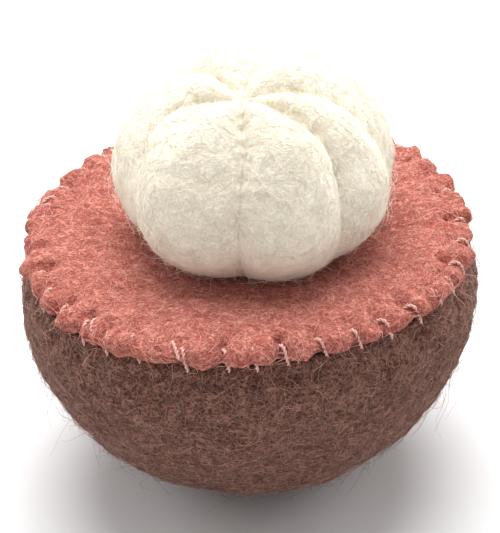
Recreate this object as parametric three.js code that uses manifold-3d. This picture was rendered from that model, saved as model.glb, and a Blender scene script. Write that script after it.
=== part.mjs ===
// Half a mangosteen made of wool felt, of the kind used as play food.
// A solid half ball of brown felted wool is the rind. A disc of coral felt is overcast to its
// mouth with one thread. On the disc sits a squashed cream ball, creased into six segments, and
// a short loop of thread ties it down through the disc into the rind.
// Millimetres, +Z up. The origin is on the table, under the middle of the whole piece.
import * as THREE from "three";
import { mergeVertices } from "three/addons/utils/BufferGeometryUtils.js";
import Module from "manifold-3d";

const DEGREE = Math.PI / 180;

// Rind: a half ball, widest a little under its mouth, with a small flat spot to rest on.
const RIND_RADIUS = 36.4;
const RIND_WIDEST_HEIGHT = 33.8;
const RIND_MOUTH_HEIGHT = 39.7;
const RIND_MOUTH_RADIUS = 34.9;
const RIND_SQUARENESS = 1.9;
const RIND_POLE_BELOW_TABLE = 0.9;
const FLAT_SPOT_RADIUS = 7.4;
const RIND_SEGMENTS = 72;
const RIND_RINGS = 11;

// Coral disc: a sheet of felt lying on the mouth, dished towards the middle.
const SHEET_GAP = 0.3;
const DISC_RADIUS = 36.0;
const DISC_UNDERSIDE = RIND_MOUTH_HEIGHT + SHEET_GAP;
const DISC_THICKNESS = 2.9;
const DISH_DEPTH = 1.0;
const DISH_INNER_RADIUS = 14;
const DISH_OUTER_RADIUS = 31;

// Overcast stitches: one thread wound round the edge like a helix.
const STITCHES = 40;
const SEGMENTS_PER_STITCH = 3;
const SCALLOP_DEPTH = 1.0;
const SCALLOP_DIP = 0.9;
const THREAD_RADIUS = 0.3;
const THREAD_ROOM = 0.3;
const COIL_CENTRE_RADIUS = 34.0;
const COIL_CENTRE_HEIGHT = 39.9;
const COIL_HALF_WIDTH = 1.75;
const COIL_HALF_HEIGHT = 2.5;
const COIL_LEAN = 0.6;
const COIL_STEPS = 6;

// Cream ball: a dome with a flat base, creased from a meeting point on its top.
const FLESH_CENTRE = new THREE.Vector2(1.4, -0.9);
const FLESH_RADIUS = 21.9;
const FLESH_BASE_HEIGHT = DISC_UNDERSIDE + DISC_THICKNESS - DISH_DEPTH + SHEET_GAP;
const FLESH_BASE_RADIUS = 13;
const FLESH_WIDEST_HEIGHT = 51.6;
const FLESH_TOP_HEIGHT = 71.6;
const FLESH_SQUARENESS = 1.95;
const FLESH_UNDERSIDE_SQUARENESS = 2.1;
const STEPS_PER_SEGMENT = 12;
const FLESH_UPPER_RINGS = 14;
const FLESH_LOWER_RINGS = 6;
const MEETING_POINT = new THREE.Vector2(-1.9, -6.3);
const CREASE_DEPTH = 3.0;
const CREASE_SHARPNESS = 0.62;
// Each crease: its bearing at the widest height and how far it bows on its way up, in degrees,
// and how much the segment that follows it stands out, in millimetres.
const CREASES = [
  { bearing: -155, bow: -20, swell: 0.5 },
  { bearing: -98, bow: 3, swell: 0.6 },
  { bearing: -49, bow: 11, swell: -0.3 },
  { bearing: -8, bow: 8, swell: -0.2 },
  { bearing: 72, bow: 0, swell: 0.9 },
  { bearing: 140, bow: -6, swell: -0.2 },
];

// Tie thread: a closed loop through the ball, the disc and the top of the rind.
const TIE_HALF_WIDTH = 3.2;
const TIE_HALF_HEIGHT = 8;
const TIE_RADIUS = 0.4;
const TIE_SEGMENTS = 26;

const wasm = await Module();
wasm.setup();

const smoothStep = (low, high, value) => {
  const share = Math.min(1, Math.max(0, (value - low) / (high - low)));
  return share * share * (3 - 2 * share);
};

// How far the hand-made outline departs from a circle, as a factor on the radius.
const outOfRound = (angle) =>
  1 +
  0.0255 * Math.cos(2 * angle - 2.04) +
  0.0114 * Math.cos(3 * angle + 1.18) +
  0.0101 * Math.cos(4 * angle + 2.27);

// Stitches are set by eye, so their even spacing wanders a little.
const wander = (angle) => angle + 0.022 * Math.sin(7 * angle + 1) + 0.016 * Math.sin(11 * angle + 2);

// 1 on a stitch and 0 midway between two, for an even angle before it wanders.
const atStitch = (evenAngle) => (0.5 + 0.5 * Math.cos(STITCHES * evenAngle)) ** 2;

// Turns a profile of [radius, height] pairs into a closed lathe that stands along +Z, then moves
// each of its vertices: place(angle, radius, height) gives the new x, y and z.
function turned(profile, segments, place) {
  const outline = profile.map(([radius, height]) => new THREE.Vector2(radius, height));
  const geometry = new THREE.LatheGeometry(outline, segments).rotateX(Math.PI / 2);
  const points = geometry.getAttribute("position");
  for (let i = 0; i < points.count; i += 1) {
    const angle = Math.atan2(points.getY(i), points.getX(i));
    const radius = Math.hypot(points.getX(i), points.getY(i));
    points.setXYZ(i, ...place(angle, radius, points.getZ(i)));
  }
  return geometry;
}

// A closed round tube along a closed path.
class ClosedPath extends THREE.Curve {
  constructor(pointAt) {
    super();
    this.pointAt = pointAt;
  }
  getPoint(share, target = new THREE.Vector3()) {
    return target.set(...this.pointAt(share));
  }
  getPointAt(share, target) {
    return this.getPoint(share, target);
  }
  getTangentAt(share, target = new THREE.Vector3()) {
    const step = 1e-4;
    return target.subVectors(this.getPoint(share + step), this.getPoint(share - step)).normalize();
  }
}

function solidOf(geometry) {
  const bare = geometry.clone();
  bare.deleteAttribute("normal");
  bare.deleteAttribute("uv");
  const merged = mergeVertices(bare, 1e-3);
  return new wasm.Manifold(
    new wasm.Mesh({
      numProp: 3,
      vertProperties: merged.getAttribute("position").array,
      triVerts: new Uint32Array(merged.index.array),
    }),
  );
}

function geometryOf(solid) {
  const mesh = solid.getMesh();
  const geometry = new THREE.BufferGeometry();
  geometry.setAttribute("position", new THREE.BufferAttribute(mesh.vertProperties, 3));
  geometry.setIndex(new THREE.BufferAttribute(mesh.triVerts, 1));
  geometry.computeVertexNormals();
  return geometry;
}

// Points along a quarter of a superellipse, from its widest point to its pole.
function quarter(halfWidth, halfHeight, squareness, count) {
  return Array.from({ length: count + 1 }, (_, i) => {
    const turn = (i / count) * (Math.PI / 2);
    return [
      halfWidth * Math.cos(turn) ** (2 / squareness),
      halfHeight * Math.sin(turn) ** (2 / squareness),
    ];
  });
}

function rindBody() {
  const sides = quarter(RIND_RADIUS, RIND_WIDEST_HEIGHT + RIND_POLE_BELOW_TABLE, RIND_SQUARENESS, RIND_RINGS)
    .map(([radius, drop]) => [radius, RIND_WIDEST_HEIGHT - drop])
    .filter(([radius, height]) => radius > FLAT_SPOT_RADIUS + 1 && height > 0.1)
    .reverse();
  const profile = [
    [0, 0],
    [FLAT_SPOT_RADIUS, 0],
    ...sides,
    [RIND_RADIUS - 0.2, RIND_WIDEST_HEIGHT + 2.6],
    [RIND_MOUTH_RADIUS + 0.7, RIND_MOUTH_HEIGHT - 1.1],
    [RIND_MOUTH_RADIUS, RIND_MOUTH_HEIGHT],
    [RIND_MOUTH_RADIUS - 6, RIND_MOUTH_HEIGHT],
    [0, RIND_MOUTH_HEIGHT],
  ];
  return turned(profile, RIND_SEGMENTS, (angle, radius, height) => {
    const share = smoothStep(0, RIND_MOUTH_HEIGHT, height);
    const reach = radius * (1 + (outOfRound(angle) - 1) * share);
    return [reach * Math.cos(angle), reach * Math.sin(angle), height];
  });
}

function pithDisc() {
  const top = DISC_UNDERSIDE + DISC_THICKNESS;
  const profile = [
    [0, DISC_UNDERSIDE],
    [28, DISC_UNDERSIDE],
    [DISC_RADIUS - 0.7, DISC_UNDERSIDE],
    [DISC_RADIUS, DISC_UNDERSIDE + 1.1],
    [DISC_RADIUS - 0.5, top - 0.7],
    [DISC_RADIUS - 1.7, top - 0.15],
    [DISC_RADIUS - 3.2, top],
    [DISH_OUTER_RADIUS, top],
    [27, top],
    [22, top],
    [17, top],
    [DISH_INNER_RADIUS, top],
    [0, top],
  ];
  const isTop = (height) => height > DISC_UNDERSIDE + DISC_THICKNESS / 2;
  return turned(profile, STITCHES * SEGMENTS_PER_STITCH, (evenAngle, radius, height) => {
    const angle = wander(evenAngle);
    const pull = atStitch(evenAngle) * smoothStep(DISC_RADIUS - 4.2, DISC_RADIUS - 1.7, radius);
    const reach = radius * outOfRound(angle) - SCALLOP_DEPTH * pull;
    const dish = DISH_DEPTH * (1 - smoothStep(DISH_INNER_RADIUS, DISH_OUTER_RADIUS, radius));
    const lowered = isTop(height) ? dish + SCALLOP_DIP * pull : 0;
    return [reach * Math.cos(angle), reach * Math.sin(angle), height - lowered];
  });
}

// The overcast stitch. Most of its way round the rim is made inside the felt, so that what shows
// runs nearly straight in over the edge.
function stitchCoil(radius) {
  const path = new ClosedPath((share) => {
    const even = share * 2 * Math.PI;
    const turn = -STITCHES * even + Math.PI / 2;
    const lean = (COIL_LEAN / STITCHES) * Math.cos(turn - Math.PI / 4 - Math.PI / 2);
    const angle = wander(even + lean);
    const reach = (COIL_CENTRE_RADIUS + COIL_HALF_WIDTH * Math.cos(turn)) * outOfRound(angle);
    const height = COIL_CENTRE_HEIGHT + COIL_HALF_HEIGHT * Math.sin(turn);
    return [reach * Math.cos(angle), reach * Math.sin(angle), height];
  });
  return new THREE.TubeGeometry(path, STITCHES * COIL_STEPS, radius, 4, true);
}

function tieLoop(radius) {
  const path = new ClosedPath((share) => {
    const turn = share * 2 * Math.PI;
    return [
      FLESH_CENTRE.x + TIE_HALF_WIDTH * Math.cos(turn),
      FLESH_CENTRE.y,
      FLESH_BASE_HEIGHT + TIE_HALF_HEIGHT * Math.sin(turn),
    ];
  });
  return new THREE.TubeGeometry(path, TIE_SEGMENTS, radius, 6, true);
}

// The bearing of a point that lies a share of the way from one crease to the next, on the ring
// that is a given share of the way out from the meeting point.
function bearingOn(index, share, out) {
  const bearingOf = (crease) => crease.bearing + crease.bow * 4 * out * (1 - out);
  const from = bearingOf(CREASES[index]);
  const to = bearingOf(CREASES[(index + 1) % CREASES.length]);
  return (from + share * (((to - from) % 360) + (to < from ? 360 : 0))) * DEGREE;
}

// The ball's rings follow its creases: above its widest height they close on the meeting point.
function fleshPoint(evenAngle, radius, height) {
  const turns = ((evenAngle / (2 * Math.PI)) % 1) + 1;
  const place = (turns * CREASES.length + 1e-9) % CREASES.length;
  const index = Math.floor(place);
  const share = place - index;
  const isUpper = height > FLESH_WIDEST_HEIGHT - 1e-6;
  const out = isUpper ? radius / FLESH_RADIUS : 1;
  const bearing = bearingOn(index, share, out);
  const x = MEETING_POINT.x * (1 - out) + radius * Math.cos(bearing);
  const y = MEETING_POINT.y * (1 - out) + radius * Math.sin(bearing);
  const domeHeight = FLESH_TOP_HEIGHT - FLESH_WIDEST_HEIGHT;
  const spread = Math.min(1, Math.hypot(x, y) / FLESH_RADIUS);
  const rise = isUpper ? (1 - spread ** FLESH_SQUARENESS) ** (1 / FLESH_SQUARENESS) : 0;
  const z = isUpper ? FLESH_WIDEST_HEIGHT + domeHeight * rise : height;

  const fullness = Math.sin(Math.PI * share) ** CREASE_SHARPNESS * smoothStep(0, 0.3, out);
  const belowShare = Math.max(0, (FLESH_WIDEST_HEIGHT - z) / (FLESH_WIDEST_HEIGHT - FLESH_BASE_HEIGHT));
  const depth = CREASE_DEPTH * (1 - 0.45 * belowShare) * (1 - 0.4 * rise ** 2);
  const inset = radius < 1 && !isUpper ? 0 : depth * (1 - fullness) - CREASES[index].swell * fullness;
  const outward = new THREE.Vector3(x / FLESH_RADIUS, y / FLESH_RADIUS, rise).normalize();
  return [
    FLESH_CENTRE.x + x - outward.x * inset,
    FLESH_CENTRE.y + y - outward.y * inset,
    z - outward.z * inset,
  ];
}

function flesh() {
  const lowerHeight = FLESH_WIDEST_HEIGHT - FLESH_BASE_HEIGHT;
  const bulge = FLESH_RADIUS - FLESH_BASE_RADIUS;
  const lower = quarter(bulge, lowerHeight, FLESH_UNDERSIDE_SQUARENESS, FLESH_LOWER_RINGS)
    .slice(1)
    .reverse()
    .map(([radius, drop]) => [FLESH_BASE_RADIUS + radius, FLESH_WIDEST_HEIGHT - drop]);
  const upper = Array.from({ length: FLESH_UPPER_RINGS + 1 }, (_, i) => {
    const turn = (i / FLESH_UPPER_RINGS) * (Math.PI / 2);
    return [i < FLESH_UPPER_RINGS ? FLESH_RADIUS * Math.cos(turn) : 0, FLESH_WIDEST_HEIGHT + i];
  });
  const outline = [[0, FLESH_BASE_HEIGHT], ...lower, ...upper];
  return turned(outline, CREASES.length * STEPS_PER_SEGMENT, fleshPoint);
}

function felt(name, geometry, colour) {
  const material = new THREE.MeshStandardMaterial({ color: colour, roughness: 0.95, metalness: 0 });
  const mesh = new THREE.Mesh(geometry, material);
  mesh.name = name;
  return mesh;
}

const needleHoles = solidOf(stitchCoil(THREAD_RADIUS + THREAD_ROOM));
const tieHole = solidOf(tieLoop(TIE_RADIUS + THREAD_ROOM));
const pierced = (geometry) => geometryOf(solidOf(geometry).subtract(needleHoles).subtract(tieHole));

const halfMangosteen = new THREE.Group();
halfMangosteen.add(
  felt("rind_body", pierced(rindBody()), 0x6b4a42),
  felt("pith_disc", pierced(pithDisc()), 0xc87a6c),
  felt("rim_thread", stitchCoil(THREAD_RADIUS), 0xd9938a),
  felt("flesh", geometryOf(solidOf(flesh()).subtract(tieHole)), 0xf4efdd),
  felt("tie_thread", tieLoop(TIE_RADIUS), 0xefe8d8),
);

// The middle of the whole, seen from above, is brought over the origin.
const middle = new THREE.Box3().setFromObject(halfMangosteen).getCenter(new THREE.Vector3());
halfMangosteen.position.set(-middle.x, -middle.y, 0);

export default halfMangosteen;
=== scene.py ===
# %% [markdown]
# Half a mangosteen made of wool felt, the kind of thing made for a toy kitchen.
# A brown felted half ball is the rind, a coral disc is overcast round its mouth, and a squashed
# cream ball sits on the disc. Wool is the whole look, so each felt body is made twice over: a
# dense, dented skin first, and then loose fibres that lie and curl on it.

# %% Load the solid model
import math

import bpy
import numpy as np
from mathutils import Matrix, Vector, noise


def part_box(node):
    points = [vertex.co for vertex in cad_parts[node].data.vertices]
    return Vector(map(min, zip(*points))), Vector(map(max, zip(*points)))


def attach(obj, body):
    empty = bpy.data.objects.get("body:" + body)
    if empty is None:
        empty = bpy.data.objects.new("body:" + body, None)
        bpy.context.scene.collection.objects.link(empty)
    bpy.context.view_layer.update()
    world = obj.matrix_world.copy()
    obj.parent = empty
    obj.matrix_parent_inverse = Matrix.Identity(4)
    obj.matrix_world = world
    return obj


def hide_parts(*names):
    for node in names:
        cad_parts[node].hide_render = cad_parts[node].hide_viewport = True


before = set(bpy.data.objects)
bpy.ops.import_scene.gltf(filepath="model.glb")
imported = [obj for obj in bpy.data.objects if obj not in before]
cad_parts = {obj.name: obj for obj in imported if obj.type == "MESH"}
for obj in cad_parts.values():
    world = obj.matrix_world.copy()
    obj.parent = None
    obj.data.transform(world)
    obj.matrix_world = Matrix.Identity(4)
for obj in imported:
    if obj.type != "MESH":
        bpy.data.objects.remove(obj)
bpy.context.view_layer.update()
MM = 0.001
random_numbers = np.random.default_rng(17)

# %% [markdown]
# Nothing sewn by hand is round. The mouth of the rind is a little egg-shaped and its stitches are
# spaced by eye, so two formulas are shared by every piece: one says how far the outline departs
# from a circle, the other how far each stitch has wandered. They are the solid model's own, and so
# the skins made here fit over it.

# %% Shared outline and stitch spacing
STITCHES = 40


def smooth_step(low, high, value):
    share = np.clip((value - low) / (high - low), 0, 1)
    return share * share * (3 - 2 * share)


def out_of_round(angle):
    wide = 0.0255 * np.cos(2 * angle - 2.04)
    egg = 0.0114 * np.cos(3 * angle + 1.18)
    square = 0.0101 * np.cos(4 * angle + 2.27)
    return 1 + wide + egg + square


def wander(angle):
    return angle + 0.022 * np.sin(7 * angle + 1) + 0.016 * np.sin(11 * angle + 2)


def at_stitch(even_angle):
    return (0.5 + 0.5 * np.cos(STITCHES * even_angle)) ** 2


def hump(value, middle, width):
    return np.exp(-(((value - middle) / width) ** 2))


# Some stitches were pulled tight and others were left slack.
stitch_pull = random_numbers.uniform(0.45, 1.6, STITCHES)
print("tightest stitch", round(float(stitch_pull.max()), 2), "slackest", round(float(stitch_pull.min()), 2))

# %% [markdown]
# A felted body is a lump of wool that was rolled and needled into shape, and it has one unbroken
# skin. The maker below turns a profile round the upright axis with many fine steps and leaves one
# point at each end, so that the skin is closed and has no seam. Another maker runs a round strand
# along a path, for thread.

# %% Makers for skins and strands
def mesh_piece(name, points, faces):
    mesh = bpy.data.meshes.new(name)
    mesh.from_pydata((np.asarray(points) * MM).tolist(), [], faces)
    mesh.update()
    mesh.polygons.foreach_set("use_smooth", [True] * len(mesh.polygons))
    made = bpy.data.objects.new(name, mesh)
    bpy.context.scene.collection.objects.link(made)
    return made


def band_faces(rows, columns, closed=False):
    """Quads between neighbouring rows of points, each row a closed ring of columns."""
    faces = []
    for row in range(rows if closed else rows - 1):
        here = row * columns
        above = ((row + 1) % rows) * columns
        for column in range(columns):
            after = (column + 1) % columns
            faces.append((here + column, here + after, above + after, above + column))
    return faces


def turned_skin(name, profile, columns, place):
    """Turns a profile that starts and ends on the axis; place gives each point's x, y and z."""
    rings = np.array(profile[1:-1], dtype=float)
    turns = np.arange(columns) / columns
    radius, turn = np.meshgrid(rings[:, 0], turns, indexing="ij")
    height = np.meshgrid(rings[:, 1], turns, indexing="ij")[0]
    points = np.stack(place(turn, radius, height), axis=-1).reshape(-1, 3)
    ends = [np.ravel(place(np.zeros(1), np.array([r]), np.array([h]))) for r, h in (profile[0], profile[-1])]
    faces = band_faces(len(rings), columns)
    bottom = len(points)
    last_ring = (len(rings) - 1) * columns
    for column in range(columns):
        after = (column + 1) % columns
        faces.append((bottom, after, column))
        faces.append((bottom + 1, last_ring + column, last_ring + after))
    return mesh_piece(name, np.vstack([points, *ends]), faces)


def finer(profile, step):
    """Adds points along a profile so that none are further apart than step."""
    out = [profile[0]]
    for start, end in zip(profile, profile[1:]):
        pieces = max(1, math.ceil(math.dist(start, end) / step))
        for i in range(1, pieces + 1):
            share = i / pieces
            out.append([a + (b - a) * share for a, b in zip(start, end)])
    return out


def quarter(half_width, half_height, squareness, count):
    turn = np.linspace(0, math.pi / 2, count + 1)
    across = half_width * np.cos(turn) ** (2 / squareness)
    upward = half_height * np.sin(turn) ** (2 / squareness)
    return [[float(a), float(b)] for a, b in zip(across, upward)]


def frame_along(path, sideways, closed):
    before = np.roll(path, 1, axis=0) if closed else np.vstack([path[:1], path[:-1]])
    after = np.roll(path, -1, axis=0) if closed else np.vstack([path[1:], path[-1:]])
    tangent = after - before
    tangent /= np.linalg.norm(tangent, axis=1, keepdims=True)
    normal = np.cross(tangent, sideways)
    normal /= np.linalg.norm(normal, axis=1, keepdims=True)
    return normal, np.cross(tangent, normal)


def strand(path, sideways, radius, sides, closed):
    """Points and faces of a round strand along a path."""
    normal, binormal = frame_along(path, sideways, closed)
    turn = np.arange(sides) / sides * 2 * math.pi
    ring = np.cos(turn)[None, :, None] * normal[:, None] + np.sin(turn)[None, :, None] * binormal[:, None]
    points = (path[:, None] + ring * np.broadcast_to(radius, len(path))[:, None, None]).reshape(-1, 3)
    faces = band_faces(len(path), sides, closed)
    if not closed:
        last = (len(path) - 1) * sides
        faces.append(tuple(reversed(range(sides))))
        faces.append(tuple(last + i for i in range(sides)))
    return points, faces


def twisted_thread(name, paths, ply_radius, twist_length, sides=5):
    """Two plies twisted round each path; a path comes with its sideways direction and whether it closes."""
    points, faces, count = [], [], 0
    for path, sideways, closed in paths:
        steps = np.linalg.norm(np.diff(path, axis=0), axis=1)
        run = np.concatenate([[0], np.cumsum(steps)])
        whole = run[-1] + (np.linalg.norm(path[0] - path[-1]) if closed else 0)
        twists = max(1, round(whole / twist_length))
        normal, binormal = frame_along(path, sideways, closed)
        for ply in range(2):
            turn = (run / whole * twists * 2 * math.pi + ply * math.pi)[:, None]
            centre = path + ply_radius * 0.95 * (np.cos(turn) * normal + np.sin(turn) * binormal)
            new_points, new_faces = strand(centre, sideways, ply_radius, sides, closed)
            points.append(new_points)
            faces += [tuple(count + corner for corner in face) for face in new_faces]
            count += len(new_points)
    return mesh_piece(name, np.vstack(points), faces)


def points_of(made):
    flat = np.empty(len(made.data.vertices) * 3)
    made.data.vertices.foreach_get("co", flat)
    return flat.reshape(-1, 3) / MM


def move_points(made, points):
    made.data.vertices.foreach_set("co", (points * MM).ravel())
    made.data.update()


def rumple(made, waves, seed, strength=None):
    """Dents and swells a skin along its own normals: waves are pairs of wavelength and height."""
    points = points_of(made)
    flat = np.empty(points.size)
    made.data.vertex_normals.foreach_get("vector", flat)
    shift = np.zeros(len(points))
    for number, (wavelength, height) in enumerate(waves):
        start = Vector((seed * 7.3, number * 11.9, 3.1))
        shift += height * np.array([noise.noise(Vector(p / wavelength) + start) for p in points])
    if strength is not None:
        shift *= strength
    move_points(made, points + flat.reshape(-1, 3) * shift[:, None])


def dent(made, centres, depth, width):
    """Presses small pits into a skin, straight in along its normals."""
    points = points_of(made)
    flat = np.empty(points.size)
    made.data.vertex_normals.foreach_get("vector", flat)
    press = np.zeros(len(points))
    for centre in centres:
        away = np.linalg.norm(points - centre, axis=1)
        press = np.maximum(press, np.exp(-((away / width) ** 2)))
    move_points(made, points - flat.reshape(-1, 3) * (press * depth)[:, None])


def report(made):
    made.data.calc_loop_triangles()
    size = np.ptp(points_of(made), axis=0)
    print(f"{made.name}: {len(made.data.loop_triangles)} triangles, mm {np.round(size, 1).tolist()}")


# %% [markdown]
# The rind is the big brown body. In the making, wool is rolled into a ball, felted hard and cut or
# pressed flat for the mouth. It is widest a little under the mouth and nearly a half ball below,
# with a small flat spot it rests on. Its skin is uneven where the wool felted in clumps, and each
# stitch pulls a small pit in it just under the disc.

# %% Rind skin
RIND_RADIUS = 36.4
RIND_WIDEST_HEIGHT = 33.8
RIND_MOUTH_HEIGHT = 39.7
RIND_MOUTH_RADIUS = 34.9
FLAT_SPOT_RADIUS = 7.4
RIND_POLE_BELOW_TABLE = 0.9
RIND_SQUARENESS = 1.9
PIT_HEIGHT = 37.2
PIT_DEPTH = 0.9

rind_curve = quarter(RIND_RADIUS, RIND_WIDEST_HEIGHT + RIND_POLE_BELOW_TABLE, RIND_SQUARENESS, 90)
lower_rind = [[r, RIND_WIDEST_HEIGHT - drop] for r, drop in rind_curve]
lower_rind = [p for p in reversed(lower_rind) if p[0] > FLAT_SPOT_RADIUS + 1 and p[1] > 0.1]
rind_profile = finer(
    [
        [0, 0],
        [FLAT_SPOT_RADIUS, 0],
        *lower_rind,
        [RIND_RADIUS - 0.2, RIND_WIDEST_HEIGHT + 2.6],
        [RIND_MOUTH_RADIUS + 0.7, RIND_MOUTH_HEIGHT - 1.1],
        [RIND_MOUTH_RADIUS, RIND_MOUTH_HEIGHT],
        [RIND_MOUTH_RADIUS - 6, RIND_MOUTH_HEIGHT],
        [0, RIND_MOUTH_HEIGHT],
    ],
    1.6,
)


def rind_place(turns, radius, height):
    even = turns * 2 * math.pi
    share = smooth_step(0, RIND_MOUTH_HEIGHT, height)
    pull = at_stitch(even) * stitch_pull[np.round(turns * STITCHES).astype(int) % STITCHES]
    pit = PIT_DEPTH * pull * hump(height, PIT_HEIGHT, 1.1) * (radius > 30)
    angle = wander(even)
    reach = radius * (1 + (out_of_round(angle) - 1) * share) - pit
    return reach * np.cos(angle), reach * np.sin(angle), height


rind_felt = turned_skin("rind_felt", rind_profile, 320, rind_place)

# The solid model was moved so that its middle stands over the origin; the skins follow it.
rind_box = np.array(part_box("rind_body")) / MM
rind_points = points_of(rind_felt)
own_middle = (rind_points.max(axis=0) + rind_points.min(axis=0)) / 2
to_origin = (rind_box.mean(axis=0) - own_middle) * (1, 1, 0)
above_table = smooth_step(0.4, 5, rind_points[:, 2])
rumple(rind_felt, [(9, 0.55), (3.6, 0.42), (1.7, 0.3)], 1, above_table)
rind_points = points_of(rind_felt) + to_origin
rind_points[:, 2] = np.clip(rind_points[:, 2], 0, RIND_MOUTH_HEIGHT + 0.15)
move_points(rind_felt, rind_points)
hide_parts("rind_body")
report(rind_felt)
print("skins moved by, mm:", np.round(to_origin, 2).tolist())

# %% [markdown]
# The coral disc is a sheet of felt about 3 mm thick. It is cut by hand to the size of the mouth and
# laid on it. Each stitch pulls its edge in and down, so the edge is scalloped, and the needle
# leaves a pit about 3 mm in from it. The sheet is a little dished under the weight of the ball.

# %% Coral disc skin
DISC_RADIUS = 36.0
DISC_UNDERSIDE = 40.0
DISC_THICKNESS = 2.9
DISC_TOP = DISC_UNDERSIDE + DISC_THICKNESS
DISH_DEPTH = 1.0
SCALLOP_DEPTH = 1.0
SCALLOP_DIP = 0.8
NEEDLE_PIT_RADIUS = 32.4
NEEDLE_PIT_DEPTH = 1.3
disc_profile = finer(
    [
        [0, DISC_UNDERSIDE],
        [28, DISC_UNDERSIDE],
        [DISC_RADIUS - 0.7, DISC_UNDERSIDE],
        [DISC_RADIUS, DISC_UNDERSIDE + 1.1],
        [DISC_RADIUS - 0.5, DISC_TOP - 0.7],
        [DISC_RADIUS - 1.7, DISC_TOP - 0.15],
        [DISC_RADIUS - 3.2, DISC_TOP],
        [0, DISC_TOP],
    ],
    0.9,
)


def disc_place(turns, radius, height):
    even = turns * 2 * math.pi
    angle = wander(even)
    tight = stitch_pull[np.round(turns * STITCHES).astype(int) % STITCHES]
    stitch = at_stitch(even) * tight
    pull = stitch * smooth_step(DISC_RADIUS - 4.2, DISC_RADIUS - 1.7, radius)
    reach = radius * out_of_round(angle) - SCALLOP_DEPTH * pull
    is_top = height > DISC_UNDERSIDE + DISC_THICKNESS / 2
    dish = DISH_DEPTH * (1 - smooth_step(14, 31, radius))
    pit = NEEDLE_PIT_DEPTH * stitch**2 * hump(radius, NEEDLE_PIT_RADIUS, 0.9)
    lowered = np.where(is_top, dish + SCALLOP_DIP * pull + pit, 0)
    return reach * np.cos(angle), reach * np.sin(angle), height - lowered


disc_felt = turned_skin("disc_felt", disc_profile, 560, disc_place)
disc_radius = np.linalg.norm(points_of(disc_felt)[:, :2], axis=1)
disc_strength = 0.55 + 0.75 * smooth_step(27, 35, disc_radius)
disc_strength *= np.where(points_of(disc_felt)[:, 2] < DISC_UNDERSIDE + 0.3, 0.1, 1)
rumple(disc_felt, [(6, 0.5), (2.6, 0.55), (1.2, 0.4)], 2, disc_strength)
move_points(disc_felt, points_of(disc_felt) + to_origin)
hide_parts("pith_disc")
report(disc_felt)

# %% [markdown]
# The cream ball stands for the white flesh. It is felted round and then needled along six lines
# that meet a little in front of its top, until the lines sink and the wool between them swells
# into segments. The needle leaves small pits along the lines, about 3 mm apart.

# %% Cream ball skin
BALL_CENTRE = (1.4, -0.9)
BALL_RADIUS = 21.9
BALL_BASE_HEIGHT = DISC_TOP - DISH_DEPTH + 0.3
BALL_BASE_RADIUS = 12
BALL_WIDEST_HEIGHT = 53.2
BALL_TOP_HEIGHT = 71.6
BALL_SQUARENESS = 1.95
MEETING_POINT = (-1.9, -6.3)
CREASE_DEPTH = 2.5
# For each crease: its bearing and its bow in degrees, and the swell of the segment after it in mm.
CREASES = np.array(
    [
        (-155, -20, 0.5),
        (-98, 3, 0.6),
        (-49, 11, -0.3),
        (-8, 8, 0.8),
        (72, 0, 0.9),
        (140, -6, -0.2),
    ]
)


def ball_place(turns, radius, height):
    place = turns * len(CREASES)
    index = np.floor(place + 1e-9).astype(int) % len(CREASES)
    share = place - np.floor(place + 1e-9)
    is_upper = height > BALL_WIDEST_HEIGHT - 1e-6
    out = np.where(is_upper, radius / BALL_RADIUS, 1)
    bowed = 4 * out * (1 - out)
    start = CREASES[index, 0] + CREASES[index, 1] * bowed
    following = CREASES[(index + 1) % len(CREASES)]
    end = following[..., 0] + following[..., 1] * bowed
    bearing = np.radians(start + share * np.mod(end - start, 360))
    x = MEETING_POINT[0] * (1 - out) + radius * np.cos(bearing)
    y = MEETING_POINT[1] * (1 - out) + radius * np.sin(bearing)
    spread = np.minimum(1, np.hypot(x, y) / BALL_RADIUS)
    rise = np.where(is_upper, (1 - spread**BALL_SQUARENESS) ** (1 / BALL_SQUARENESS), 0)
    z = np.where(is_upper, BALL_WIDEST_HEIGHT + (BALL_TOP_HEIGHT - BALL_WIDEST_HEIGHT) * rise, height)
    full = np.abs(np.sin(np.pi * share)) ** 0.78 * smooth_step(0, 0.3, out)
    below = np.maximum(0, (BALL_WIDEST_HEIGHT - z) / (BALL_WIDEST_HEIGHT - BALL_BASE_HEIGHT))
    depth = CREASE_DEPTH * (1 - 0.45 * below) * (1 - 0.4 * rise**2)
    inset = depth * (1 - full) - CREASES[index, 2] * full
    inset = np.where((radius < 1) & ~is_upper, 0, inset)
    outward = np.stack([x / BALL_RADIUS, y / BALL_RADIUS, rise])
    outward /= np.maximum(1e-9, np.linalg.norm(outward, axis=0))
    return (
        BALL_CENTRE[0] + x - outward[0] * inset,
        BALL_CENTRE[1] + y - outward[1] * inset,
        z - outward[2] * inset,
    )


lower_ball = quarter(BALL_RADIUS - BALL_BASE_RADIUS, BALL_WIDEST_HEIGHT - BALL_BASE_HEIGHT, 1.9, 30)
lower_ball = [[BALL_BASE_RADIUS + r, BALL_WIDEST_HEIGHT - drop] for r, drop in reversed(lower_ball[1:])]
upper_turns = np.linspace(0, math.pi / 2, 86)
upper_ball = [[BALL_RADIUS * math.cos(t), BALL_WIDEST_HEIGHT + i] for i, t in enumerate(upper_turns)]
upper_ball[-1][0] = 0
ball_profile = finer([[0, BALL_BASE_HEIGHT], lower_ball[0]], 1.5) + lower_ball[1:] + upper_ball
ball_felt = turned_skin("ball_felt", ball_profile, 312, ball_place)

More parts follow.
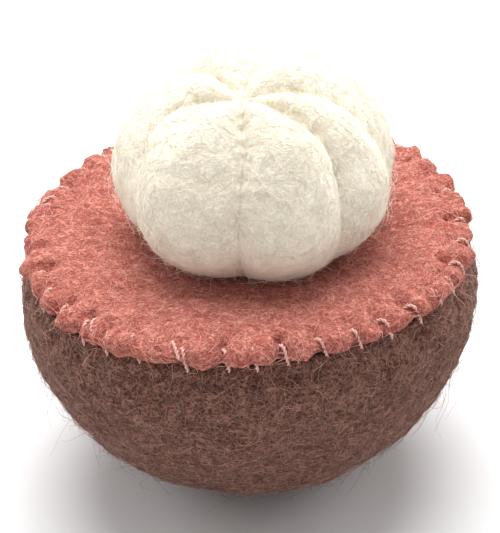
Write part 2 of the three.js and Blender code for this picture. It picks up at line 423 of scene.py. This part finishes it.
needle_pits = []
for crease in range(len(CREASES)):
    for out in np.arange(0.1, 1, 0.135) + random_numbers.uniform(-0.03, 0.03, 7):
        turn = np.array([crease / len(CREASES)])
        above = np.array([BALL_WIDEST_HEIGHT + 9])
        spot = ball_place(turn, np.array([BALL_RADIUS * out]), above)
        needle_pits.append(np.ravel(spot))
dent(ball_felt, needle_pits, 0.35, 0.9)
rumple(ball_felt, [(8, 0.55), (3.6, 0.22), (1.6, 0.08)], 3, smooth_step(42.5, 46, points_of(ball_felt)[:, 2]))
move_points(ball_felt, points_of(ball_felt) + to_origin)
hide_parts("flesh")
report(ball_felt)

# %% [markdown]
# One pale coral thread is wound round the rim like a spring: over the edge, into the rind, up
# through both felts and out of the disc again. It is pulled so tight that wool closes over most of
# it. A few stitches at the front left, and one at the back, were left slack and shine. The
# ball is held by a short loop of cream thread that never shows.

# %% Threads
PLY_RADIUS = 0.16
share = np.arange(STITCHES * 50) / (STITCHES * 50)
even = share * 2 * math.pi
coil_turn = -STITCHES * even + math.pi / 2
coil_angle = wander(even + 0.6 / STITCHES * np.cos(coil_turn - 0.75 * math.pi))
coil_reach = (33.8 + 1.25 * np.cos(coil_turn)) * out_of_round(coil_angle)
coil_path = np.stack(
    [
        coil_reach * np.cos(coil_angle),
        coil_reach * np.sin(coil_angle),
        39.9 + 2.15 * np.sin(coil_turn),
    ],
    axis=1,
)
round_the_rim = np.stack([-np.sin(coil_angle), np.cos(coil_angle), np.zeros_like(coil_angle)], axis=1)
rim_yarn = twisted_thread("rim_yarn", [(coil_path + to_origin, round_the_rim, True)], PLY_RADIUS, 1.5)
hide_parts("rim_thread")
report(rim_yarn)

SLACK_BEARINGS = (-139, -131, -124, -119, -108, 163)
slack_paths = []
for bearing in SLACK_BEARINGS:
    lean = random_numbers.uniform(1.5, 4.5)
    over = np.linspace(-0.35, random_numbers.uniform(0.5, 0.85), 22)
    angle = np.radians(bearing + lean * (over - 0.4))
    bulge = np.sin(np.pi * np.clip(over, 0, 1)) ** 0.7
    reach = (32.8 + 2.9 * over + 0.5 * bulge) * out_of_round(angle)
    height = 42.7 - 4.2 * np.clip(over, -0.4, 1.2) ** 2 + 0.3 * bulge - 1.6 * hump(over, -0.35, 0.25)
    path = np.stack([reach * np.cos(angle), reach * np.sin(angle), height], axis=1)
    sideways = np.stack([-np.sin(angle), np.cos(angle), np.zeros_like(angle)], axis=1)
    slack_paths.append((path + to_origin, sideways, False))
slack_stitches = twisted_thread("slack_stitches", slack_paths, 0.15, 1.4)
report(slack_stitches)

loop_turn = np.arange(160) / 160 * 2 * math.pi
tie_path = np.stack(
    [
        BALL_CENTRE[0] + 3.2 * np.cos(loop_turn),
        np.full_like(loop_turn, BALL_CENTRE[1]),
        BALL_BASE_HEIGHT + 8 * np.sin(loop_turn),
    ],
    axis=1,
)
tie_yarn = twisted_thread("tie_yarn", [(tie_path + to_origin, np.array([[0.0, 1.0, 0.0]]), True)], 0.2, 1.8)
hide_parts("tie_thread")
report(tie_yarn)

# %% [markdown]
# Wool never lies quite flat. Fibres 3 to 12 mm long stay half caught in the felt and curl over it,
# and a few stand well clear, which is what makes the outline soft. They are grown with nodes:
# points are scattered on a skin, a short curve is laid at each in a random direction, bent by a
# slow noise, laid back on the skin with a lift that differs from fibre to fibre, and given a thin
# tapering body.

# %% Wires for node trees
class Wire:
    """A node's output; arithmetic on it adds maths nodes to the same tree."""

    def __init__(self, socket):
        self.socket = socket

    def maths(self, operation, *others):
        made = self.socket.id_data.nodes.new("ShaderNodeMath")
        made.operation = operation
        for value, entry in zip((self, *others), made.inputs):
            join(value, entry)
        return Wire(made.outputs[0])

    def __add__(self, other):
        return self.maths("ADD", other)

    def __sub__(self, other):
        return self.maths("SUBTRACT", other)

    def __rsub__(self, other):
        return self.maths("MULTIPLY_ADD", -1.0, other)

    def __mul__(self, other):
        return self.maths("MULTIPLY", other)

    def __pow__(self, other):
        return self.maths("POWER", other)

    def __abs__(self):
        return self.maths("ABSOLUTE")

    def clamped(self):
        return self.maths("MAXIMUM", 0.0).maths("MINIMUM", 1.0)

    __radd__ = __add__
    __rmul__ = __mul__


def join(value, entry):
    if isinstance(value, Wire):
        entry.id_data.links.new(value.socket, entry)
    else:
        entry.default_value = value


def add_node(tree, kind, settings, inputs, output=0):
    """Adds a node: its settings first, then its inputs."""
    made = tree.nodes.new(kind)
    for name, value in settings.items():
        setattr(made, name, value)
    for name, value in inputs.items():
        join(value, made.inputs[name])
    return Wire(made.outputs[output])


# %% Fibre-growing nodes
def fibre_nodes():
    tree = bpy.data.node_groups.new("loose wool", "GeometryNodeTree")
    tree.interface.new_socket("Skin", in_out="INPUT", socket_type="NodeSocketGeometry")
    for name in ("Fibres per square metre", "Length", "Curl", "Curl size", "Lift", "Radius"):
        tree.interface.new_socket(name, in_out="INPUT", socket_type="NodeSocketFloat")
    tree.interface.new_socket("Seed", in_out="INPUT", socket_type="NodeSocketInt")
    tree.interface.new_socket("Wool", in_out="INPUT", socket_type="NodeSocketMaterial")
    tree.interface.new_socket("Fibres", in_out="OUTPUT", socket_type="NodeSocketGeometry")
    given = tree.nodes.new("NodeGroupInput")
    asked = {socket.name: Wire(socket) for socket in given.outputs if socket.name}
    skin, seed = asked["Skin"], asked["Seed"]

    def node(kind, settings, inputs, output=0):
        return add_node(tree, kind, settings, inputs, output)

    def random_value(low, high, seed_shift):
        own_seed = node("FunctionNodeIntegerMath", {"operation": "ADD"}, {0: seed, 1: seed_shift})
        inputs = {2: low, 3: high, "Seed": own_seed}
        return node("FunctionNodeRandomValue", {"data_type": "FLOAT"}, inputs, 1)

    def vector(operation, first, second=None, output=0, scale=None):
        inputs = {0: first}
        if second is not None:
            inputs[1] = second
        if scale is not None:
            inputs["Scale"] = scale
        return node("ShaderNodeVectorMath", {"operation": operation}, inputs, output)

    roots = tree.nodes.new("GeometryNodeDistributePointsOnFaces")
    join(skin, roots.inputs["Mesh"])
    join(asked["Fibres per square metre"], roots.inputs["Density"])
    join(seed, roots.inputs["Seed"])
    spin = node("ShaderNodeCombineXYZ", {}, {"Z": random_value(0.0, 2 * math.pi, 1)})
    laid = node(
        "FunctionNodeRotateRotation",
        {"rotation_space": "LOCAL"},
        {0: Wire(roots.outputs["Rotation"]), 1: node("FunctionNodeEulerToRotation", {}, {0: spin})},
    )
    reach = node("ShaderNodeCombineXYZ", {}, {"X": asked["Length"]})
    line = node("GeometryNodeCurvePrimitiveLine", {}, {"End": reach})
    line = node("GeometryNodeResampleCurve", {"mode": "COUNT"}, {"Curve": line, "Count": 7})
    fibres = node(
        "GeometryNodeInstanceOnPoints",
        {},
        {
            "Points": Wire(roots.outputs["Points"]),
            "Instance": line,
            "Rotation": laid,
            "Scale": random_value(0.45, 1.3, 2),
        },
    )
    fibres = node(
        "GeometryNodeStoreNamedAttribute",
        {"data_type": "FLOAT", "domain": "INSTANCE"},
        {"Geometry": fibres, "Name": "looseness", "Value": random_value(0.0, 1.0, 3)},
    )
    fibres = node("GeometryNodeRealizeInstances", {}, {"Geometry": fibres})

    looseness = node("GeometryNodeInputNamedAttribute", {"data_type": "FLOAT"}, {"Name": "looseness"})
    along = node("GeometryNodeSplineParameter", {}, {})
    position = node("GeometryNodeInputPosition", {}, {})
    shifts = {"X": looseness * 9.7, "Y": looseness * 53.1, "Z": looseness * 171.3}
    apart = node("ShaderNodeCombineXYZ", {}, shifts)
    sampled = vector("ADD", vector("SCALE", position, scale=1.0 / MM), vector("SCALE", apart, scale=10.0))
    bend = node(
        "ShaderNodeTexNoise",
        {"noise_dimensions": "3D"},
        {"Vector": sampled, "Scale": asked["Curl size"], "Detail": 0.0},
        1,
    )
    bend = vector("SUBTRACT", bend, (0.5, 0.5, 0.5))
    bend = vector("SCALE", bend, scale=asked["Curl"] * along)
    moved = vector("ADD", position, bend)
    nearest = node("GeometryNodeProximity", {"target_element": "FACES"}, {0: skin, "Sample Position": moved})
    outward = node(
        "GeometryNodeSampleNearestSurface",
        {"data_type": "FLOAT_VECTOR"},
        {"Mesh": skin, "Value": node("GeometryNodeInputNormal", {}, {}), "Sample Position": moved},
    )
    lift = asked["Lift"] * (looseness**5.0) * (along**1.3) + 0.06 * MM * (1.0 - along * 0.6)
    gap = vector("SCALE", vector("SUBTRACT", moved, nearest), scale=looseness**3.0)
    resting = vector("ADD", vector("ADD", nearest, gap), vector("SCALE", outward, scale=lift))
    parts = tree.nodes.new("ShaderNodeSeparateXYZ")
    join(resting, parts.inputs[0])
    safe_height = Wire(parts.outputs["Z"]).maths("MAXIMUM", 0.2 * MM)
    resting = node(
        "ShaderNodeCombineXYZ",
        {},
        {"X": Wire(parts.outputs["X"]), "Y": Wire(parts.outputs["Y"]), "Z": safe_height},
    )
    fibres = node("GeometryNodeSetPosition", {}, {"Geometry": fibres, "Position": resting})
    section = node("GeometryNodeCurvePrimitiveCircle", {}, {"Resolution": 3, "Radius": asked["Radius"]})
    body = node(
        "GeometryNodeCurveToMesh",
        {},
        {"Curve": fibres, "Profile Curve": section, "Scale": 1.0 - along * 0.7, "Fill Caps": True},
    )
    body = node("GeometryNodeRealizeInstances", {}, {"Geometry": body})
    body = node("GeometryNodeSetMaterial", {}, {"Geometry": body, "Material": asked["Wool"]})
    join(body, tree.nodes.new("NodeGroupOutput").inputs["Fibres"])
    return tree


loose_wool = fibre_nodes()


def grow_fibres(name, skin, wool, slot, **sizes):
    """Grows fibres on a skin and leaves them as one plain mesh of their own."""
    grower = bpy.data.objects.new("grower", skin.data)
    bpy.context.scene.collection.objects.link(grower)
    modifier = grower.modifiers.new("loose wool", "NODES")
    modifier.node_group = loose_wool
    given = {item.name: item.identifier for item in loose_wool.interface.items_tree if item.in_out == "INPUT"}
    modifier[given["Wool"]] = wool
    for label, value in sizes.items():
        modifier[given[label.replace("_", " ").capitalize()]] = value
    evaluated = grower.evaluated_get(bpy.context.evaluated_depsgraph_get())
    mesh = bpy.data.meshes.new_from_object(evaluated)
    mesh.name = name
    bpy.data.objects.remove(grower)
    made = bpy.data.objects.new(name, mesh)
    bpy.context.scene.collection.objects.link(made)
    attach(made, "root")
    report(made)
    return made


# %% [markdown]
# The colour of felt is never one flat tone. Dyed fibres of slightly different shades are carded
# together and light ones catch the light as thin lines. The finish draws this with thin curling
# lines, taken where a smooth noise crosses its middle value, over a soft mottling whose dark end is
# painted shade: it falls where the bump is low, so the hollows between the fibres are painted dark. A sheen
# adds the pale bloom that wool has at its edges.

# %% Wool and thread finishes
def new_finish(name):
    made = bpy.data.materials.new(name)
    made.use_nodes = True
    shader = made.node_tree.nodes["Principled BSDF"]
    return made, made.node_tree, shader


def mixed(tree, factor, first, second):
    return add_node(tree, "ShaderNodeMix", {"data_type": "RGBA"}, {0: factor, 6: first, 7: second}, 2)


def millimetres(tree):
    place = add_node(tree, "ShaderNodeTexCoord", {}, {}, "Object")
    return add_node(tree, "ShaderNodeVectorMath", {"operation": "SCALE"}, {0: place, "Scale": 1 / MM})


def cloudy(tree, place, scale, detail=2.0, distortion=0.0):
    inputs = {"Vector": place, "Scale": scale, "Detail": detail, "Distortion": distortion}
    return add_node(tree, "ShaderNodeTexNoise", {}, inputs, 0)


def curling_lines(tree, place, scale, thinness, shift):
    apart = (shift, shift * 2.0, -shift)
    moved = add_node(tree, "ShaderNodeVectorMath", {"operation": "ADD"}, {0: place, 1: apart})
    field = cloudy(tree, moved, scale, 1.0, 0.6)
    return (1.0 - abs(field - 0.5) * thinness).clamped()


def felt_finish(name, deep_tone_and_shade, middle, light, line_strength, dent_height, sheen, sheen_tint):
    made, tree, shader = new_finish(name)
    place = millimetres(tree)
    lines = curling_lines(tree, place, 0.55, 26.0, 3.0)
    lines = lines + curling_lines(tree, place, 0.9, 20.0, 31.0)
    lines = lines + curling_lines(tree, place, 1.5, 14.0, 57.0)
    lines = lines.clamped()
    clumps = cloudy(tree, place, 0.45, 4.0)
    grain = cloudy(tree, place, 2.6, 3.0)
    # Painted shade: this mix goes to the very dark deep colour where grain and clumps are low, which is where
    # the bump is low, so hollows are painted darker on top of the random tone.
    depth = ((grain - 0.38) * 3.2 + (clumps - 0.5) * 1.6).clamped()
    colour = mixed(tree, depth, deep_tone_and_shade, middle)
    colour = mixed(tree, lines * line_strength * (0.35 + clumps), colour, light)
    join(colour, shader.inputs["Base Color"])
    join(0.86 + grain * 0.14, shader.inputs["Roughness"])
    height = grain * 0.7 + lines * 0.6 + clumps * 0.8
    bump_inputs = {"Strength": 1.0, "Distance": dent_height * MM, "Height": height}
    bump = add_node(tree, "ShaderNodeBump", {}, bump_inputs)
    join(bump, shader.inputs["Normal"])
    shader.inputs["Sheen Weight"].default_value = sheen
    shader.inputs["Sheen Roughness"].default_value = 0.45
    shader.inputs["Sheen Tint"].default_value = sheen_tint
    shader.inputs["Specular IOR Level"].default_value = 0.15
    return made


def fibre_finish(name, dark, light, sheen):
    made, tree, shader = new_finish(name)
    place = millimetres(tree)
    tone = ((cloudy(tree, place, 0.9, 3.0) - 0.33) * 3.0).clamped()
    join(mixed(tree, tone, dark, light), shader.inputs["Base Color"])
    join(0.55 + tone * 0.25, shader.inputs["Roughness"])
    shader.inputs["Sheen Weight"].default_value = sheen
    shader.inputs["Specular IOR Level"].default_value = 0.3
    return made


def thread_finish(name, dark, light):
    made, tree, shader = new_finish(name)
    place = millimetres(tree)
    tone = cloudy(tree, place, 1.6, 3.0)
    join(mixed(tree, tone, dark, light), shader.inputs["Base Color"])
    join(0.35 + tone * 0.25, shader.inputs["Roughness"])
    bump = add_node(
        tree,
        "ShaderNodeBump",
        {},
        {"Strength": 0.6, "Distance": 0.05 * MM, "Height": cloudy(tree, place, 9.0)},
    )
    join(bump, shader.inputs["Normal"])
    return made


brown_felt = felt_finish(
    "brown felt",
    deep_tone_and_shade=(0.055, 0.017, 0.011, 1),
    middle=(0.19, 0.066, 0.045, 1),
    light=(0.46, 0.24, 0.18, 1),
    line_strength=0.55,
    dent_height=0.45,
    sheen=0.2,
    sheen_tint=(0.9, 0.62, 0.52, 1),
)
coral_felt = felt_finish(
    "coral felt",
    deep_tone_and_shade=(0.34, 0.06, 0.042, 1),
    middle=(0.60, 0.17, 0.125, 1),
    light=(0.80, 0.38, 0.30, 1),
    line_strength=0.5,
    dent_height=0.35,
    sheen=0.25,
    sheen_tint=(1.0, 0.7, 0.62, 1),
)
cream_felt = felt_finish(
    "cream felt",
    deep_tone_and_shade=(0.84, 0.76, 0.60, 1),
    middle=(0.91, 0.85, 0.71, 1),
    light=(0.95, 0.91, 0.80, 1),
    line_strength=0.5,
    dent_height=0.12,
    sheen=0.3,
    sheen_tint=(1.0, 0.97, 0.9, 1),
)
brown_fibre = fibre_finish("brown fibre", (0.13, 0.044, 0.03, 1), (0.50, 0.28, 0.21, 1), 0.2)
coral_fibre = fibre_finish("coral fibre", (0.56, 0.145, 0.105, 1), (0.85, 0.43, 0.34, 1), 0.2)
cream_fibre = fibre_finish("cream fibre", (0.88, 0.81, 0.66, 1), (0.96, 0.92, 0.82, 1), 0.2)
coral_thread = thread_finish("coral thread", (0.62, 0.26, 0.21, 1), (0.90, 0.64, 0.58, 1))
cream_thread = thread_finish("cream thread", (0.72, 0.64, 0.50, 1), (0.90, 0.85, 0.75, 1))
for made, finish in (
    (rind_felt, brown_felt),
    (disc_felt, coral_felt),
    (ball_felt, cream_felt),
    (rim_yarn, coral_thread),
    (slack_stitches, coral_thread),
    (tie_yarn, cream_thread),
):
    made.data.materials.append(finish)
    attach(made, "root")
print("finishes:", ", ".join(m.name for m in bpy.data.materials if m.name.islower()))

# %% [markdown]
# Each wool gets its own fibres. On the rind they are long and lively, in two lots: a low nap that
# covers it and fewer long ones that stand off. The coral is shorter and denser. On the cream ball,
# which was worked hardest, they are short and lie close.

# %% Grow the fibres
brown_nap = grow_fibres(
    "brown_nap", rind_felt, brown_fibre, "brown_felt", fibres_per_square_metre=375000.0,
    length=5.5 * MM, curl=5.0 * MM, curl_size=0.32, lift=1.2 * MM, radius=0.055 * MM, seed=11,
)
brown_strays = grow_fibres(
    "brown_strays", rind_felt, brown_fibre, "brown_felt", fibres_per_square_metre=150000.0,
    length=9 * MM, curl=10.0 * MM, curl_size=0.2, lift=3.6 * MM, radius=0.038 * MM, seed=12,
)
coral_nap = grow_fibres(
    "coral_nap", disc_felt, coral_fibre, "coral_felt", fibres_per_square_metre=500000.0,
    length=4.5 * MM, curl=4.5 * MM, curl_size=0.35, lift=1.8 * MM, radius=0.055 * MM, seed=13,
)
cream_nap = grow_fibres(
    "cream_nap", ball_felt, cream_fibre, "cream_felt", fibres_per_square_metre=900000.0,
    length=4.5 * MM, curl=4.0 * MM, curl_size=0.3, lift=1.3 * MM, radius=0.04 * MM, seed=14,
)

# %% [markdown]
# The disc is cut from sheet felt, flat and round, and lies on the mouth of the rind. The rind and the
# ball are packed wool all the way through.

# %% [markdown]
# The piece stands on a white table in a bright white room. Most of the light comes from above and
# behind, so the top of the ball nearly bleaches out, the side towards us is the darkest, and a soft
# dark shadow gathers underneath.

# %% Table, light and camera
bpy.ops.mesh.primitive_plane_add(size=6, location=(0, 0, 0))
table_top = bpy.context.object
table_top.name = "table_top"
white_board, board_tree, board_shader = new_finish("white board")
board_tone = cloudy(board_tree, millimetres(board_tree), 0.01)
board_colour = mixed(board_tree, board_tone, (0.79, 0.785, 0.79, 1), (0.82, 0.815, 0.82, 1))
join(board_colour, board_shader.inputs["Base Color"])
board_shader.inputs["Roughness"].default_value = 0.8
board_shader.inputs["Specular IOR Level"].default_value = 0.1
table_top.data.materials.append(white_board)


def soft_light(name, place, aim, size, watts):
    data = bpy.data.lights.new(name, "AREA")
    data.shape = "DISK"
    data.size = size
    data.energy = watts
    made = bpy.data.objects.new(name, data)
    made.location = place
    made.rotation_euler = (Vector(aim) - Vector(place)).to_track_quat("-Z", "Y").to_euler()
    bpy.context.scene.collection.objects.link(made)
    return made


soft_light("overhead", (0.0, 0.25, 0.75), (0, 0, 0.03), 0.8, 10.5)
soft_light("back left", (-0.6, 0.35, 0.3), (0, 0, 0.04), 0.4, 1.7)
soft_light("back right", (0.6, 0.35, 0.3), (0, 0, 0.04), 0.4, 1.4)
room = bpy.data.worlds.new("white room")
room.use_nodes = True
room.node_tree.nodes["Background"].inputs["Color"].default_value = (1.0, 0.99, 0.98, 1)
room.node_tree.nodes["Background"].inputs["Strength"].default_value = 0.55
bpy.context.scene.world = room

camera_data = bpy.data.cameras.new("camera")
camera_data.lens = 195.5
camera_data.sensor_width = 36
camera = bpy.data.objects.new("camera", camera_data)
right = Vector((0.9997, -0.0142, -0.0208))
upward = Vector((0.0252, 0.5391, 0.8419))
forward = Vector((0.0007, 0.8422, -0.5392))
turn = Matrix((right, upward, -forward)).transposed()
eye = (np.array([0, -385.1, 281.6]) + to_origin) * MM
camera.matrix_world = Matrix.Translation(Vector(eye)) @ turn.to_4x4()
bpy.context.scene.collection.objects.link(camera)
bpy.context.scene.camera = camera
bpy.context.scene.view_settings.view_transform = "Standard"
print("camera at, mm:", np.round(eye / MM, 1).tolist())
